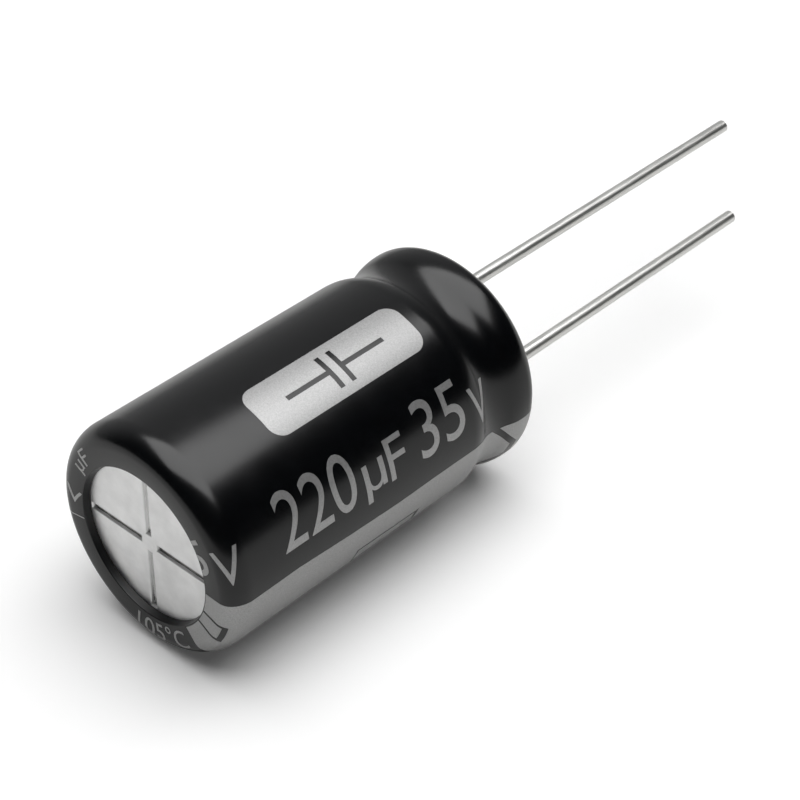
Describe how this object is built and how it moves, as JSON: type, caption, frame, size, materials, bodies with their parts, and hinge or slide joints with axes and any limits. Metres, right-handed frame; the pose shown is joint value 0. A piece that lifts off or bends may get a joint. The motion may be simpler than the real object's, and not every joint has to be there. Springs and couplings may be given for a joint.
{
  "type": "electrolytic capacitor",
  "caption": "Radial-lead aluminium electrolytic capacitor: sleeved can with a scored vent end, rubber bung and wire leads of unequal length.",
  "frame": {"origin": "centre of the plane that the vented end stands on, which is the lowest face of the sleeve's fold", "axes": "+Z along the can's axis, from the vented end to the leads; +X from the axis towards the positive lead, -X towards the negative one"},
  "size_m": [0.0082, 0.0082, 0.0332],
  "materials": {
    "case": "drawn, satin",
    "sleeve": "satin gloss, with grey print",
    "bung": "matte",
    "lead_wire": "tinned, satin",
    "tab": "satin",
    "etched_foil": "etched, matte",
    "plain_foil": "rolled, satin",
    "separator_paper": "soaked kraft paper",
    "winding_tape": "thin film"
  },
  "bodies": {
    "root": {"case": "case", "sleeve": "sleeve", "bung": "bung", "positive_lead": "lead_wire", "negative_lead": "lead_wire", "anode_tab": "tab", "cathode_tab": "tab", "anode_foil": "etched_foil", "cathode_foil": "plain_foil", "inner_paper": "separator_paper", "outer_paper": "separator_paper", "winding_tape": "winding_tape"}
  },
  "joints": []
}
